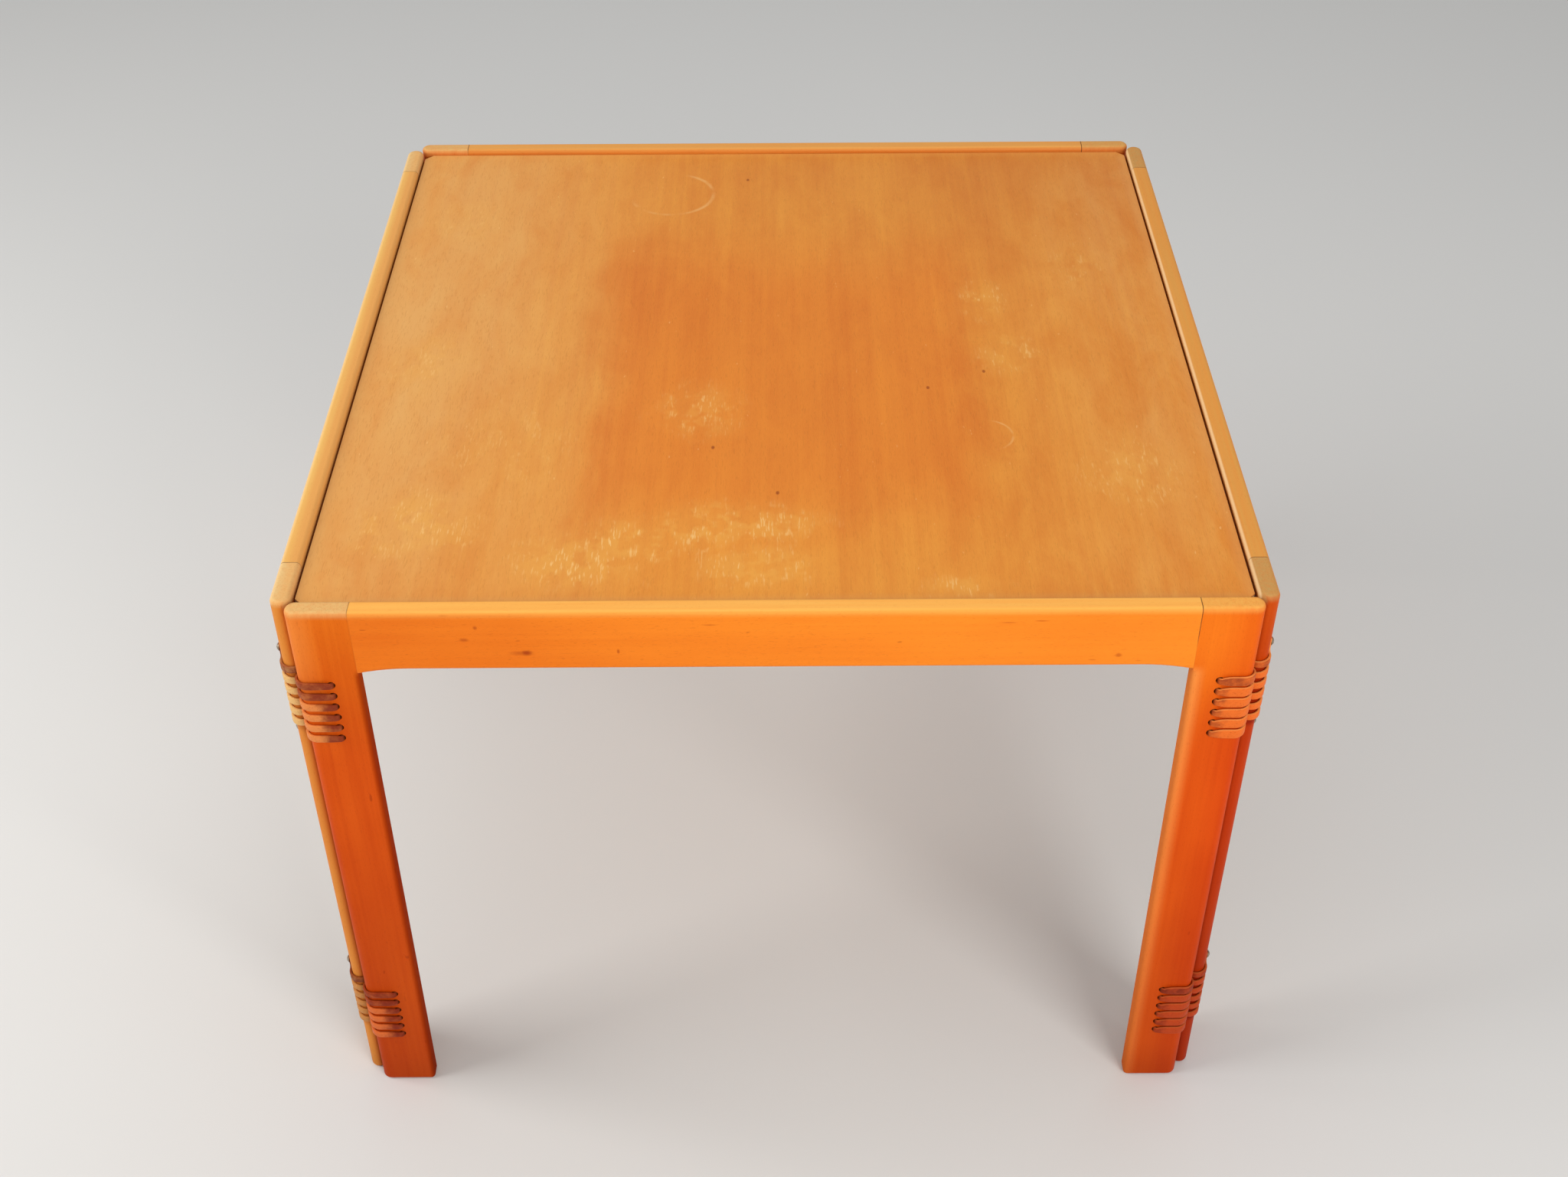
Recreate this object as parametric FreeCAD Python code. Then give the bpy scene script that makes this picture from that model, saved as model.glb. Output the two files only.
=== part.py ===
import FreeCAD, Part
import math
import os

# Folding coffee table: four flat wooden frames stand in a square, laced together
# at the corners with leather thongs, and a loose top drops in between them.
# The origin is on the floor at the middle of the square, Z up, the front towards -Y.

# Frames: two legs with a rail between them, all from the same board
board = 14.5
frame_width = 670.0
frame_height = 515.0
leg_width = 44.0
rail_depth = 52.0
rail_end_drop = 4.2
rail_end_run = 36.0
arris = 3.4
foot_round = 2.7
overrun = 5.0
tiny = 0.01

# Dowels in the butt joints of the frames
dowel_diameter = 8.0
dowel_length = 40.0
dowel_first_below_top = 15.0
dowel_spacing = 22.0
dowel_side_clearance = 0.05
dowel_end_clearance = 1.0

# Leather thong of the lacings
thong_thick = 2.0
thong_wide = 4.5
thong_clearance = 0.3
turns = 6
turn_pitch = 10.1
hole_diameter = 6.0
hole_from_edge = 24.0
upper_first_below_top = 65.5
lower_first_above_floor = 112.0
hole_bend_radius = 2.0
slope_lead = 0.5
end_turn_radius = 5.0
head_lead = 1.0
head_rise = 9.0
tail_fall = 9.0

# Round-head tacks at the ends of each thong
tack_head_diameter = 7.0
tack_head_rise = 2.2
tack_shank_diameter = 1.8
tack_depth_in_wood = 9.0
tack_from_thong_end = 4.5
tack_clearance = 0.05

# Loose top: a board with a veneer on both faces
top_thick = 16.0
top_recess = 5.0
top_side_gap = 2.0
top_end_gap = 0.6
top_corner_cut = 7.0
veneer_thick = 0.8

# Cleats that carry the top, screwed to the inside of the front and rear rails
cleat_length = 320.0
cleat_thick = 10.0
cleat_tall = 20.0
cleat_arris = 2.0
screw_count = 3
screw_spacing = 130.0
screw_diameter = 4.0
screw_head_diameter = 8.0
screw_head_depth = 2.4
screw_length = 20.0
screw_clearance = 0.05
screw_head_sink = 0.3

# Places that follow from the sizes
nose = board / 2
wrap = nose + thong_clearance + thong_thick / 2
axis_gap = 2 * wrap
axis_along = frame_width / 2 - nose
axis_out = axis_along + axis_gap * math.sqrt(0.5)
inner_face = axis_out - nose
outer_face = axis_out + nose
rail_end_depth = rail_depth + rail_end_drop
rail_length = frame_width - 2 * leg_width
hole_along = hole_from_edge - nose
half_pitch = turn_pitch / 2
upper_first = frame_height - upper_first_below_top
lower_first = lower_first_above_floor
top_face_level = frame_height - top_recess
top_under_level = top_face_level - top_thick

up = FreeCAD.Vector(0, 0, 1)
origin = FreeCAD.Vector(0, 0, 0)
os.makedirs("parts", exist_ok=True)


def vec(x, y, z):
    return FreeCAD.Vector(x, y, z)


def moved(shape, x, y, z):
    copy = shape.copy()
    copy.translate(vec(x, y, z))
    return copy


def quarter_turned(shape, quarters):
    copy = shape.copy()
    copy.rotate(origin, up, 90 * quarters)
    return copy


def line(start, end):
    return Part.LineSegment(start, end).toShape()


def arc(start, middle, end):
    return Part.Arc(start, middle, end).toShape()


def prism(edges, direction):
    return Part.Face(Part.Wire(Part.__sortEdges__(edges))).extrude(direction)


def save(name, shape):
    solids = shape.Solids
    for solid in solids:
        if not solid.isValid() or solid.Volume <= 0:
            raise ValueError(name + " has a bad solid")
    whole = solids[0] if len(solids) == 1 else Part.makeCompound(solids)
    whole.exportStep("parts/" + name + ".step")
    print(name, len(solids), round(sum(s.Volume for s in solids), 1))


def hole_levels(first):
    return [first - turn * turn_pitch for turn in range(turns)]


# Legs. In the leg's own plan the half-round nose is at x = 0 and the rail side at x = leg_width.

def leg_plan(level, corner):
    tip = arc(vec(nose, nose, level), vec(0, 0, level), vec(nose, -nose, level))
    near = leg_width - corner
    edges = [tip, line(vec(nose, nose, level), vec(near, nose, level))]
    edges.append(line(vec(nose, -nose, level), vec(near, -nose, level)))
    if corner > 0:
        ease = corner * math.sqrt(0.5)
        for side in (1, -1):
            inset = nose - corner
            middle = vec(near + ease, side * (inset + ease), level)
            edges.append(arc(vec(near, side * nose, level), middle, vec(leg_width, side * inset, level)))
        edges.append(line(vec(leg_width, nose - corner, level), vec(leg_width, corner - nose, level)))
    else:
        edges.append(line(vec(leg_width, nose, level), vec(leg_width, -nose, level)))
    return edges


def leg_blank():
    shoulder = frame_height - rail_end_depth
    lower = prism(leg_plan(0, arris), vec(0, 0, shoulder))
    upper = prism(leg_plan(shoulder, 0), vec(0, 0, rail_end_depth))
    leg = lower.fuse(upper).removeSplitter()
    top_edges = []
    for edge in leg.Edges:
        box = edge.BoundBox
        if box.ZMin > frame_height - tiny and box.XMin < leg_width - tiny:
            top_edges.append(edge)
    leg = leg.makeFillet(arris, top_edges)
    foot_edges = [edge for edge in leg.Edges if edge.BoundBox.ZMax < tiny]
    return leg.makeFillet(foot_round, foot_edges)


def lacing_holes(shift):
    holes = []
    for first in (upper_first, lower_first):
        for level in hole_levels(first):
            start = vec(hole_from_edge, -nose - overrun, level + shift)
            holes.append(Part.makeCylinder(hole_diameter / 2, board + 2 * overrun, start, vec(0, 1, 0)))
    return holes


def dowel_levels():
    return [frame_height - dowel_first_below_top - n * dowel_spacing for n in range(2)]


def dowel_bores(joint_x):
    reach = dowel_length / 2 + dowel_end_clearance
    radius = dowel_diameter / 2 + dowel_side_clearance
    return [
        Part.makeCylinder(radius, 2 * reach, vec(joint_x - reach, 0, level), vec(1, 0, 0))
        for level in dowel_levels()
    ]


def dowels(joint_x):
    start = joint_x - dowel_length / 2
    return [
        Part.makeCylinder(dowel_diameter / 2, dowel_length, vec(start, 0, level), vec(1, 0, 0))
        for level in dowel_levels()
    ]


def rail_blank():
    half = rail_length / 2
    low = frame_height - rail_depth
    bend = (rail_end_run ** 2 + rail_end_drop ** 2) / (2 * rail_end_drop)
    mid_run = rail_end_run / 2
    mid_drop = bend - math.sqrt(bend ** 2 - mid_run ** 2)
    straight = half - rail_end_run
    edges = [line(vec(-half, -nose, frame_height), vec(half, -nose, frame_height))]
    for side in (1, -1):
        heel = vec(side * half, -nose, low - rail_end_drop)
        middle = vec(side * (straight + mid_run), -nose, low - mid_drop)
        edges.append(line(vec(side * half, -nose, frame_height), heel))
        edges.append(arc(heel, middle, vec(side * straight, -nose, low)))
    edges.append(line(vec(-straight, -nose, low), vec(straight, -nose, low)))
    rail = prism(edges, vec(0, board, 0))
    long_edges = []
    for edge in rail.Edges:
        box = edge.BoundBox
        if box.XLength > tiny and box.YLength < tiny:
            long_edges.append(edge)
    return rail.makeFillet(arris, long_edges)


# A frame stands with its outer face towards -Y, then turns to its side of the table.

def frame_members(hole_shift):
    leg = leg_blank().cut(lacing_holes(hole_shift))
    leg = leg.cut(dowel_bores(leg_width))
    first = moved(leg, -frame_width / 2, -axis_out, 0)
    second = leg.copy()
    second.rotate(origin, up, 180)
    second.translate(vec(frame_width / 2, -axis_out, 0))
    rail = rail_blank()
    pegs = []
    for joint_x in (-rail_length / 2, rail_length / 2):
        rail = rail.cut(dowel_bores(joint_x))
        pegs += dowels(joint_x)
    return first, second, moved(rail, 0, -axis_out, 0), moved(Part.makeCompound(pegs), 0, -axis_out, 0)


# Cleats and their screws, made for the front rail

def screw_places():
    middle = (screw_count - 1) / 2
    return [(n - middle) * screw_spacing for n in range(screw_count)]


def cleat_level():
    return top_under_level - cleat_tall / 2


def screw_shape(x, grow):
    back = -inner_face + cleat_thick - screw_head_sink + (overrun if grow else 0)
    seat = -inner_face + cleat_thick - screw_head_sink
    slim = screw_diameter / 2 + grow
    wide = screw_head_diameter / 2 + grow
    level = cleat_level()
    shank = Part.makeCylinder(slim, screw_length, vec(x, seat, level), vec(0, -1, 0))
    head = Part.makeCone(wide, slim, screw_head_depth, vec(x, seat, level), vec(0, -1, 0))
    screw = shank.fuse(head)
    if grow:
        screw = screw.fuse(Part.makeCylinder(wide, back - seat, vec(x, seat, level), vec(0, 1, 0)))
    return screw


def cleat_blank():
    low = top_under_level - cleat_tall
    block = Part.makeBox(cleat_length, cleat_thick, cleat_tall, vec(-cleat_length / 2, -inner_face, low))
    edges = []
    for edge in block.Edges:
        box = edge.BoundBox
        if box.XLength > tiny and box.YMin > -inner_face + tiny and box.ZMax < low + tiny:
            edges.append(edge)
    return block.makeFillet(cleat_arris, edges)


# The loose top

def top_outline(level):
    half_x = inner_face - top_side_gap
    half_y = inner_face - top_end_gap
    cut = top_corner_cut
    corners = []
    for sx, sy in ((1, 1), (-1, 1), (-1, -1), (1, -1)):
        along = vec(sx * (half_x - cut), sy * half_y, level)
        across = vec(sx * half_x, sy * (half_y - cut), level)
        corners += [across, along] if sx * sy > 0 else [along, across]
    return Part.Face(Part.makePolygon(corners + [corners[0]]))


def top_layer(level, thick):
    return top_outline(level).extrude(vec(0, 0, thick))


# Lacing of the front left corner. Each frame's nose is a centre, with the way along its board
# and the way out of its outer face, and the thong keeps its width upright as it goes round.

class Side:
    def __init__(self, centre, along, out):
        self.centre = centre
        self.along = along
        self.out = out

    def at(self, run, off, level):
        place = self.centre + self.along * run + self.out * off
        return vec(place.x, place.y, level)

    def round_nose(self, degrees, level):
        turn = math.radians(degrees)
        return self.at(-wrap * math.sin(turn), wrap * math.cos(turn), level)


front = Side(vec(-axis_along, -axis_out, 0), vec(1, 0, 0), vec(0, -1, 0))
flank = Side(vec(-axis_out, -axis_along, 0), vec(0, 1, 0), vec(-1, 0, 0))
bend_ease = hole_bend_radius * math.sqrt(0.5)
bend_start = hole_along - hole_bend_radius


def slope(side, level, fall):
    # two equal arcs on the inner face take the thong down to its next hole
    length = bend_start - 2 * slope_lead
    tilt = 2 * math.atan2(fall, length)
    radius = length / (2 * math.sin(tilt))
    quarter_run = radius * math.sin(tilt / 2)
    quarter_fall = radius * (1 - math.cos(tilt / 2))
    half_run = slope_lead + length / 2
    far = bend_start - slope_lead
    start = side.at(slope_lead, -wrap, level)
    first = side.at(slope_lead + quarter_run, -wrap, level - quarter_fall)
    middle = side.at(half_run, -wrap, level - fall / 2)
    second = side.at(far - quarter_run, -wrap, level - fall + quarter_fall)
    end = side.at(far, -wrap, level - fall)
    return [
        (line(side.at(0, -wrap, level), start), side.out),
        (arc(start, first, middle), side.out),
        (arc(middle, second, end), side.out),
        (line(end, side.at(bend_start, -wrap, level - fall)), side.out),
    ]


def through_hole(side, level):
    inside = hole_bend_radius - wrap
    ease = hole_bend_radius - bend_ease
    start = side.at(bend_start, -wrap, level)
    turn_in = side.at(bend_start + bend_ease, -wrap + ease, level)
    enter = side.at(hole_along, inside, level)
    leave = side.at(hole_along, -inside, level)
    turn_out = side.at(bend_start + bend_ease, wrap - ease, level)
    end = side.at(bend_start, wrap, level)
    return [
        (arc(start, turn_in, enter), None),
        (line(enter, leave), None),
        (arc(leave, turn_out, end), None),
    ]


def cross_over(side, other, level):
    # round the nose, between the two frames, and onto the other frame's inner face
    meet = side.round_nose(135, level)
    return [
        (arc(side.at(0, wrap, level), side.round_nose(67.5, level), meet), None),
        (arc(meet, other.round_nose(157.5, level), other.at(0, -wrap, level)), None),
    ]


def thong_head(level):
    run = head_lead + end_turn_radius
    ease = end_turn_radius * math.sqrt(0.5)
    start = flank.at(run, wrap, level + end_turn_radius + head_rise)
    turn = flank.at(run, wrap, level + end_turn_radius)
    middle = flank.at(head_lead + ease, wrap, level + end_turn_radius - ease)
    end = flank.at(head_lead, wrap, level)
    return [
        (line(start, turn), flank.out),
        (arc(turn, middle, end), flank.out),
        (line(end, flank.at(0, wrap, level)), flank.out),
    ]


def thong_tail(level):
    ease = end_turn_radius * math.sqrt(0.5)
    run = bend_start - end_turn_radius
    start = flank.at(bend_start, wrap, level)
    middle = flank.at(bend_start - ease, wrap, level - end_turn_radius + ease)
    turn = flank.at(run, wrap, level - end_turn_radius)
    end = flank.at(run, wrap, level - end_turn_radius - tail_fall)
    return [(arc(start, middle, turn), flank.out), (line(turn, end), flank.out)]


def lacing_steps(first):
    level = first + half_pitch
    steps = thong_head(level)
    for turn in range(turns):
        for side, other in ((flank, front), (front, flank)):
            steps += cross_over(side, other, level)
            steps += slope(other, level, half_pitch)
            level -= half_pitch
            steps += through_hole(other, level)
            last = turn == turns - 1 and side is front
            if not last:
                steps.append((line(other.at(bend_start, wrap, level), other.at(0, wrap, level)), None))
    return steps + thong_tail(level)


def thong_places(first):
    level = first + half_pitch
    head_level = level + end_turn_radius + head_rise - tack_from_thong_end
    head = (head_lead + end_turn_radius, head_level)
    tail_level = level - turns * turn_pitch - end_turn_radius - tail_fall + tack_from_thong_end
    tail = (bend_start - end_turn_radius, tail_level)
    return [head, tail]


def thong_section(first):
    level = first + half_pitch + end_turn_radius + head_rise
    run = head_lead + end_turn_radius
    corners = []
    for wide, thick in ((1, 1), (-1, 1), (-1, -1), (1, -1)):
        corners.append(flank.at(run + wide * thong_wide / 2, wrap + thick * thong_thick / 2, level))
    return Part.makePolygon(corners + [corners[0]])


def least_gap(steps):
    # points on both edges of the thong, against points further along it than one bend
    points = []
    travelled = 0.0
    for edge, face in steps:
        count = max(3, int(edge.Length / (thong_thick / 2)))
        first, last = edge.FirstParameter, edge.LastParameter
        for n in range(count):
            value = first + (last - first) * n / count
            place = edge.valueAt(value)
            way = edge.tangentAt(value)
            across = way.cross(face) if face else up
            for sign in (1, -1):
                spot = place + across * (sign * thong_wide / 2)
                points.append((travelled + edge.Length * n / count, spot))
        travelled += edge.Length
    cell = thong_wide
    grid = {}
    for number, (run, spot) in enumerate(points):
        key = (int(spot.x // cell), int(spot.y // cell), int(spot.z // cell))
        grid.setdefault(key, []).append(number)
    best = cell
    near = [(i, j, k) for i in (-1, 0, 1) for j in (-1, 0, 1) for k in (-1, 0, 1)]
    for key, members in grid.items():
        others = []
        for i, j, k in near:
            others += grid.get((key[0] + i, key[1] + j, key[2] + k), [])
        for a in members:
            for b in others:
                if points[b][0] - points[a][0] > 3 * wrap:
                    best = min(best, points[a][1].distanceToPoint(points[b][1]))
    return best


def tack_axis(run, level):
    return flank.at(run, wrap + thong_thick / 2, level), flank.out


def tack_shape(run, level):
    seat, out = tack_axis(run, level)
    radius = tack_head_diameter / 2
    ball = (radius ** 2 + tack_head_rise ** 2) / (2 * tack_head_rise)
    dome = Part.makeSphere(ball, seat + out * (tack_head_rise - ball))
    keep = Part.makeCylinder(tack_head_diameter, 2 * ball, seat, out)
    reach = thong_thick + thong_clearance + tack_depth_in_wood + tack_head_rise / 2
    start = seat + out * (tack_head_rise / 2)
    shank = Part.makeCylinder(tack_shank_diameter / 2, reach, start, out * -1)
    return dome.common(keep).fuse(shank).removeSplitter()


def tack_bore(run, level):
    seat, out = tack_axis(run, level)
    radius = tack_shank_diameter / 2 + tack_clearance
    reach = thong_thick + thong_clearance + tack_depth_in_wood + overrun + tack_clearance
    return Part.makeCylinder(radius, reach, seat + out * overrun, out * -1)


def lacing(first):
    steps = lacing_steps(first)
    spine = Part.Wire([edge for edge, face in steps])
    thong = spine.makePipeShell([thong_section(first)], True, False)
    length = sum(edge.Length for edge, face in steps)
    swept = length * thong_wide * thong_thick
    print("thong length", round(length, 1), "volume share", round(thong.Volume / swept, 4))
    print("least gap of the thong to itself", round(least_gap(steps), 3))
    return thong.cut([tack_bore(run, level) for run, level in thong_places(first)])


def four_corners(shape):
    # the front left corner's shape, then its mirror images at the other three corners
    across = shape.mirror(origin, vec(1, 0, 0))
    return {
        "front_left": shape,
        "front_right": across,
        "rear_left": shape.mirror(origin, vec(0, 1, 0)),
        "rear_right": across.mirror(origin, vec(0, 1, 0)),
    }


# Tacks go in the side frames only, near both ends of every thong
tack_shapes = []
tack_bores = []
for first in (upper_first, lower_first):
    for run, level in thong_places(first):
        tack_shapes.append(four_corners(tack_shape(run, level)))
        tack_bores.append(four_corners(tack_bore(run, level)))

frame_names = (
    ("front", "left", "right"),
    ("right", "front", "rear"),
    ("rear", "right", "left"),
    ("left", "rear", "front"),
)
for quarters, (name, near, far) in enumerate(frame_names):
    on_side = name in ("left", "right")
    first_leg, second_leg, rail, pegs = frame_members(-half_pitch if on_side else 0)
    pieces = {near: quarter_turned(first_leg, quarters), far: quarter_turned(second_leg, quarters)}
    rail = quarter_turned(rail, quarters)
    for end, leg in pieces.items():
        if on_side:
            leg = leg.cut([bores[end + "_" + name] for bores in tack_bores])
        save(name + "_leg_" + end, leg)
    if not on_side:
        cleat = cleat_blank().cut([screw_shape(x, screw_clearance) for x in screw_places()])
        screws = Part.makeCompound([screw_shape(x, 0) for x in screw_places()])
        rail = rail.cut([quarter_turned(screw_shape(x, screw_clearance), quarters) for x in screw_places()])
        save(name + "_cleat", quarter_turned(cleat, quarters))
        save(name + "_cleat_screws", quarter_turned(screws, quarters))
    save(name + "_rail", rail)
    save(name + "_dowels", quarter_turned(pegs, quarters))

for name in ("left", "right"):
    corners = ("front_" + name, "rear_" + name)
    save(name + "_frame_tacks", Part.makeCompound([group[c] for group in tack_shapes for c in corners]))

for height, first in (("upper", upper_first), ("lower", lower_first)):
    for corner, thong in four_corners(lacing(first)).items():
        save("lacing_" + corner + "_" + height, thong)

save("top_back_veneer", top_layer(top_under_level, veneer_thick))
save("top_core", top_layer(top_under_level + veneer_thick, top_thick - 2 * veneer_thick))
save("top_face_veneer", top_layer(top_face_level - veneer_thick, veneer_thick))
print("overall width", round(2 * outer_face, 2), "height", frame_height)
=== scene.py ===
import math
import bmesh
import bpy
from mathutils import Matrix, Vector, noise
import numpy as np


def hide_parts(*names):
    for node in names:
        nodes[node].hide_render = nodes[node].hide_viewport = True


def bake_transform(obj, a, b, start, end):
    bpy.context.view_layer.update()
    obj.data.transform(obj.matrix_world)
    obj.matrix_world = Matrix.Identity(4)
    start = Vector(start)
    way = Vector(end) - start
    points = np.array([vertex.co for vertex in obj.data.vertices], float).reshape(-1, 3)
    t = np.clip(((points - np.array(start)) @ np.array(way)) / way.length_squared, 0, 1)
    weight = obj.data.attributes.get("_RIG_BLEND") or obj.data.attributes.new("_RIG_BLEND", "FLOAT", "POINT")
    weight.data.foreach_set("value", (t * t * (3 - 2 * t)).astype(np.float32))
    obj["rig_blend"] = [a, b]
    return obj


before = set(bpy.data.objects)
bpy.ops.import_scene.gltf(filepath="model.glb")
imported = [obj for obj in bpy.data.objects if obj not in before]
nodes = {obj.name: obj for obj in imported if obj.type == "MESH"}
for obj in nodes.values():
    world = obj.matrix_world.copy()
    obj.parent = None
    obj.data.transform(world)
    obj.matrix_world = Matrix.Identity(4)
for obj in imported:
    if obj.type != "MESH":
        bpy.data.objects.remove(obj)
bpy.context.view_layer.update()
print("frame loaded:", len(nodes), "nodes")


def paint(colour):
    return colour if isinstance(colour, Wire) else (*colour, 1)


class Wire:  # a shader socket that can be used in sums
    def __init__(self, tree, socket=None):
        self.tree = tree
        self.socket = socket

    def node(self, kind, settings=None, inputs=None, out=0):
        made = self.tree.nodes.new(kind)
        for key, value in (settings or {}).items():
            setattr(made, key, value)
        for key, value in (inputs or {}).items():
            if isinstance(value, Wire):
                self.tree.links.new(value.socket, made.inputs[key])
            else:
                made.inputs[key].default_value = value
        return Wire(self.tree, made.outputs[out] if made.outputs else None)

    def coords(self, kind):
        return self.node("ShaderNodeTexCoord", out=kind)

    def own(self, name):  # a value that the mesh carries
        return self.node("ShaderNodeAttribute", {"attribute_name": name}, out="Fac")

    def sum(self, operation, left, right):
        return self.node("ShaderNodeMath", {"operation": operation}, {0: left, 1: right})

    def __add__(self, other):
        return self.sum("ADD", self, other)

    def __radd__(self, other):
        return self.sum("ADD", other, self)

    def __sub__(self, other):
        return self.sum("SUBTRACT", self, other)

    def __rsub__(self, other):
        return self.sum("SUBTRACT", other, self)

    def __mul__(self, other):
        return self.sum("MULTIPLY", self, other)

    def __abs__(self):
        return self.sum("ABSOLUTE", self, 0)

    def most(self, other):
        return self.sum("MAXIMUM", self, other)

    def ease(self, low, high):  # 0 at low, 1 at high, soft between
        return self.node("ShaderNodeMapRange", {"interpolation_type": "SMOOTHSTEP"},
                         {"Value": self, "From Min": low, "From Max": high})

    def within(self, rise, fall):  # 1 between a rise and a fall
        return self.ease(*rise) * (1 - self.ease(*fall))

    def mix(self, low, high, way="MIX"):  # this value picks between two colours
        return self.node("ShaderNodeMix", {"data_type": "RGBA", "blend_type": way},
                         {0: self, 6: paint(low), 7: paint(high)}, 2)

    def lay(self, colour, fac):  # another colour laid over this one
        return fac.mix(self, colour)

    def darken(self, colour, fac):
        return fac.mix(self, colour, "MULTIPLY")

    def grain(self, stretch, shift=(0, 0, 0), detail=2.0, rough=0.5, bend=0.0):
        laid = self.node("ShaderNodeMapping", {}, {"Vector": self, "Location": shift, "Scale": stretch})
        return self.node("ShaderNodeTexNoise", {}, {"Vector": laid, "Scale": 1.0, "Detail": detail,
                                                   "Roughness": rough, "Distortion": bend}, "Fac")

    def parts(self):
        split = self.node("ShaderNodeSeparateXYZ", {}, {0: self})
        return [Wire(self.tree, socket) for socket in split.socket.node.outputs]

    def near(self, place, reach):  # distance to a place, 1 at the reach
        gap = self.node("ShaderNodeVectorMath", {"operation": "SUBTRACT"}, {0: self, 1: place})
        gap = self.node("ShaderNodeVectorMath", {"operation": "DIVIDE"}, {0: gap, 1: reach})
        return self.node("ShaderNodeVectorMath", {"operation": "LENGTH"}, {0: gap}, "Value")


def startFinish(name):
    made = bpy.data.materials.new(name)
    made.use_nodes = True
    made.node_tree.nodes.clear()
    return made, Wire(made.node_tree)


def closeFinish(wire, sockets, height=None, strength=None, depth=None):
    if height is not None:
        bump = {"Strength": strength, "Distance": depth, "Height": height}
        sockets["Normal"] = wire.node("ShaderNodeBump", {}, bump)
    shader = wire.node("ShaderNodeBsdfPrincipled", {}, sockets)
    wire.node("ShaderNodeOutputMaterial", {}, {"Surface": shader})


def dress(node, finish):
    slots = nodes[node].data.materials
    slots.clear()
    slots.append(finish)


# frames: oiled beech, each member with its own run of grain
# a pair of levels, places or shares says where a mask starts and where it is full
beech = {
    "deep": (0.77, 0.150, 0.006),
    "pale": (0.95, 0.260, 0.018),
    "windowLitFacing": (0.72, 0.27, 0.045),  # painted window light on the left frame's surfaces that face the window
    "windowHighlightTop": (0.95, 0.70, 0.36),
    "shadedInnerTop": (0.74, 0.33, 0.085),
    "windowLitEnd": (0.88, 0.27, 0.05),
    "shaded": (0.68, 0.36, 0.25),
    "outerEndShade": (0.92, 0.70, 0.6),
    "highlightLine": (0.95, 0.70, 0.38),
    "litSide": (0.98, 0.36, 0.08),
    "dimSide": (0.55, 0.42, 0.35),
    "inwardShade": (0.74, 0.72, 0.85),
    "underRailShade": (0.84, 0.52, 0.50),
    "footShade": (0.74, 0.69, 0.75),
    "endDots": (0.80, 0.70, 0.58),
    "fleck": (0.60, 0.42, 0.30),
    "mark": (0.52, 0.30, 0.18),
    "jointLine": (0.10, 0.03, 0.01),
    "grime": (0.62, 0.52, 0.45),
    "strapShadowAndDye": (0.55, 0.32, 0.22),
    "strapShadowAndDyeShare": {"front_leg_left": 0.2, "front_leg_right": 0.6, "right_leg_front": 0.9, "left_leg_front": 0.4},
    "strapShadowAndDyeElse": 0.35,
    "figureRun": (2.0, 34),  # noise scales along the grain and across it
    "streakRun": (7, 330),
    "fleckRun": (320, 1700),
    "cloudRun": (9, 14),
    "markRun": (60, 170),
    "markShift": 3.1,
    "dotScale": (900, 900, 60),
    "brokenScale": (24, 24, 24),
    "upperLeg": (0.36, 0.515),  # levels above the floor
    "lowerLeg": (0.0, 0.36),
    "grimeLevel": (0.0, 0.05),
    "railEnd": (0.455, 0.465),
    "upperStraps": ((0.392, 0.398), (0.450, 0.458)),
    "lowerStraps": ((0.055, 0.061), (0.113, 0.120)),
    "windowLitEndLevel": (0.40, 0.50),
    "upLevel": (0.490, 0.506),
    "easeLevel": (0.5085, 0.5145),
    "paleTopOnInnerLevel": (0.5060, 0.5115),
    "windowHighlightTopLevel": (0.5085, 0.5125),
    "highlightLineLevel": (0.5090, 0.5120),
    "jointLevel": (0.455, 0.463),
    "openLevel": (0.478, 0.494),
    "redEnd": (-0.30, 0.02),  # places along and across the frames
    "narrowSide": (0.2912, 0.2950),
    "strapShadowAndDyeReach": (0.309, 0.316),
    "outerEndShadeAt": (0.300, 0.332),
    "litAt": (0.2915, 0.302),
    "windowLitEndAt": (-0.332, -0.312),
    "shadedInnerTopAt": (-0.3450, -0.3370),
    "windowHighlightTopAt": (-0.3472, -0.3430),
    "highlightLineAt": (0.3331, 0.3343),
    "openAt": (-0.1, 0.1),
    "jointAt": 0.291,
    "jointEdge": (0.0002, 0.0005),
    "faceAt": -0.3471,
    "faceDeep": 0.003,
    "facingWindow": (-0.9, 0.3),  # shares of the surface's direction
    "facingFront": (-0.2, 0.8),
    "facingIn": (0.1, 0.6),
    "facingUp": (0.25, 0.95),
    "endFacing": (0.7, 0.95),
    "knots": [  # on the front rail: place, half sizes, strength
        (-0.1717, 0.4786, 0.0055, 0.0030, 1.0), (-0.1750, 0.4784, 0.0110, 0.0026, 0.5),
        (-0.2050, 0.5014, 0.0020, 0.0022, 0.7), (-0.2136, 0.4908, 0.0045, 0.0022, 0.6),
        (-0.1083, 0.4797, 0.0014, 0.0028, 0.8), (0.2375, 0.4736, 0.0030, 0.0026, 0.6),
        (0.1597, 0.5037, 0.0080, 0.0009, 0.5), (0.1820, 0.5051, 0.0060, 0.0010, 0.5),
        (-0.0447, 0.5030, 0.0060, 0.0010, 0.4), (0.2197, 0.4695, 0.0040, 0.0010, 0.4),
    ],
}


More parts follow.
